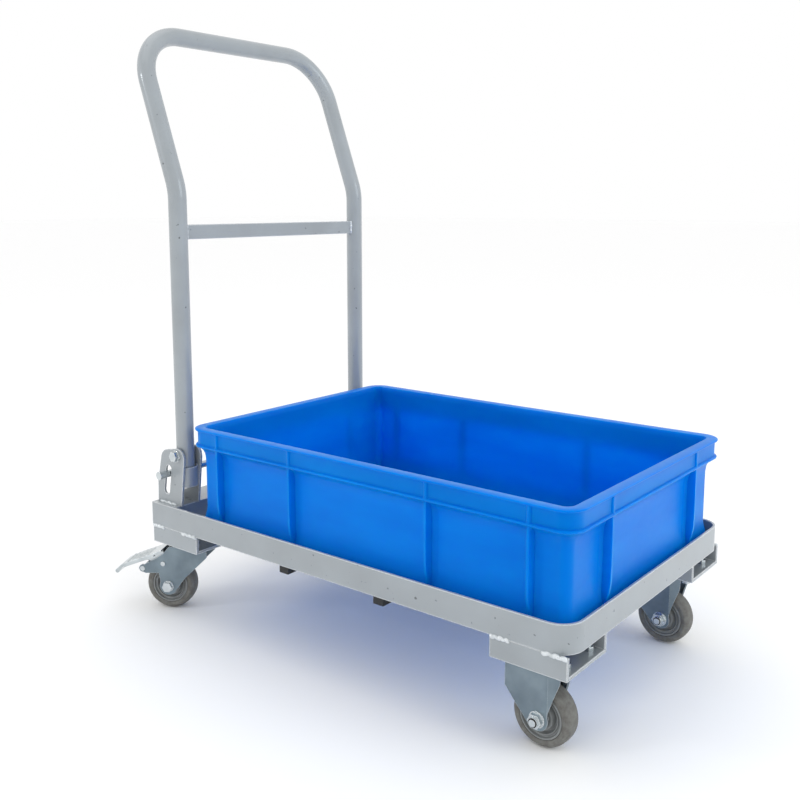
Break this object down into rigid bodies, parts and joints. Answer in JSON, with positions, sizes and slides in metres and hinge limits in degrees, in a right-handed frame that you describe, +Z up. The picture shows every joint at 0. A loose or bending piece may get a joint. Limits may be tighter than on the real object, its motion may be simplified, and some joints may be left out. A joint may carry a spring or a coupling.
{
  "type": "folding platform cart",
  "caption": "Steel ring platform cart with a fold-down tube handle, two fixed and two swivelling braked castors, carrying one open plastic crate.",
  "frame": {"origin": "on the floor, at the centre of the footprint of the whole cart", "axes": "+Z up, +X along the cart towards the front with the handle at -X, Y across it"},
  "size_m": [0.7416, 0.4684, 0.83],
  "materials": {
    "frame_paint": "silver-grey paint, satin",
    "brace_paint": "black paint",
    "black_plastic": "black moulded plastic",
    "zinc": "bright zinc plating",
    "fork_zinc": "blue-grey zinc plating on pressed steel",
    "spring_steel": "spring wire",
    "crate_plastic": "moulded blue plastic, slightly glossy",
    "tread_rubber": "grey-brown rubber",
    "hub_plastic": "grey moulded core"
  },
  "bodies": {
    "frame": {"ring_frame": "frame_paint", "rear_cross_tube": "frame_paint", "rear_brace": "brace_paint", "front_brace": "brace_paint", "brace_end_caps": "black_plastic", "pad_rear_near": "frame_paint", "pad_rear_far": "frame_paint", "pad_front_near": "frame_paint", "pad_front_far": "frame_paint", "hinge_bracket_near": "frame_paint", "hinge_bracket_far": "frame_paint", "pivot_bolts": "zinc", "pivot_nuts": "zinc", "lock_springs": "spring_steel", "castor_bolts": "zinc", "castor_nuts": "zinc", "fixed_fork_near": "fork_zinc", "fixed_axle_bolt_near": "zinc", "fixed_axle_nut_near": "zinc", "swivel_plate_near": "fork_zinc", "kingpin_near": "zinc", "swivel_balls_near": "zinc", "fixed_fork_far": "fork_zinc", "fixed_axle_bolt_far": "zinc", "fixed_axle_nut_far": "zinc", "swivel_plate_far": "fork_zinc", "kingpin_far": "zinc", "swivel_balls_far": "zinc"},
    "handle": {"handle_tube": "frame_paint", "handle_crossbar": "frame_paint"},
    "lock": {"lock_bar": "zinc"},
    "crate": {"crate": "crate_plastic"},
    "front_wheel_near": {"fixed_tread_near": "tread_rubber", "fixed_hub_near": "hub_plastic", "fixed_bearings_near": "zinc"},
    "swivel_near": {"swivel_fork_near": "fork_zinc", "swivel_axle_bolt_near": "zinc", "swivel_axle_nut_near": "zinc", "pedal_pivots_near": "zinc", "pedal_stop_pin_near": "zinc"},
    "rear_wheel_near": {"swivel_tread_near": "tread_rubber", "swivel_hub_near": "hub_plastic", "swivel_bearings_near": "zinc"},
    "pedal_near": {"brake_pedal_near": "zinc"},
    "front_wheel_far": {"fixed_tread_far": "tread_rubber", "fixed_hub_far": "hub_plastic", "fixed_bearings_far": "zinc"},
    "swivel_far": {"swivel_fork_far": "fork_zinc", "swivel_axle_bolt_far": "zinc", "swivel_axle_nut_far": "zinc", "pedal_pivots_far": "zinc", "pedal_stop_pin_far": "zinc"},
    "rear_wheel_far": {"swivel_tread_far": "tread_rubber", "swivel_hub_far": "hub_plastic", "swivel_bearings_far": "zinc"},
    "pedal_far": {"brake_pedal_far": "zinc"}
  },
  "joints": [
    {"name": "handle_fold", "type": "hinge", "parent": "frame", "child": "handle", "pos_m": [-0.25162, 0, 0.2345], "axis": [0, 1, 0], "range_deg": [0, 90]},
    {"name": "crate_tip", "type": "hinge", "parent": "frame", "child": "crate", "pos_m": [0.36978, 0, 0.166], "axis": [0, 1, 0], "range_deg": [0, 153]},
    {"name": "lock_slide", "type": "slide", "parent": "frame", "child": "lock", "axis": [-0.1633, 0, -0.9866], "range_m": [0, 0.022], "stiffness_N_per_m": 600, "springref_m": -0.01, "deforming": ["lock_springs"]},
    {"name": "front_wheel_spin_near", "type": "hinge", "parent": "frame", "child": "front_wheel_near", "pos_m": [0.31778, -0.16, 0.036], "axis": [0, 1, 0], "continuous": true},
    {"name": "swivel_turn_near", "type": "hinge", "parent": "frame", "child": "swivel_near", "pos_m": [-0.25922, -0.16, 0.095], "axis": [0, 0, 1], "continuous": true},
    {"name": "rear_wheel_spin_near", "type": "hinge", "parent": "swivel_near", "child": "rear_wheel_near", "pos_m": [-0.29213, -0.179, 0.036], "axis": [-0.5, 0.866, 0], "continuous": true},
    {"name": "pedal_press_near", "type": "hinge", "parent": "swivel_near", "child": "pedal_near", "pos_m": [-0.29819, -0.1825, 0.0695], "axis": [0.5, -0.866, 0], "range_deg": [0, 8]},
    {"name": "front_wheel_spin_far", "type": "hinge", "parent": "frame", "child": "front_wheel_far", "pos_m": [0.31778, 0.16, 0.036], "axis": [0, 1, 0], "continuous": true},
    {"name": "swivel_turn_far", "type": "hinge", "parent": "frame", "child": "swivel_far", "pos_m": [-0.25922, 0.16, 0.095], "axis": [0, 0, 1], "continuous": true},
    {"name": "rear_wheel_spin_far", "type": "hinge", "parent": "swivel_far", "child": "rear_wheel_far", "pos_m": [-0.29213, 0.179, 0.036], "axis": [0.5, 0.866, 0], "continuous": true},
    {"name": "pedal_press_far", "type": "hinge", "parent": "swivel_far", "child": "pedal_far", "pos_m": [-0.29819, 0.1825, 0.0695], "axis": [-0.5, -0.866, 0], "range_deg": [0, 8]}
  ],
  "couplings": [
    {"joint": "crate_tip", "follows": "handle_fold", "ratio": 1.7}
  ]
}
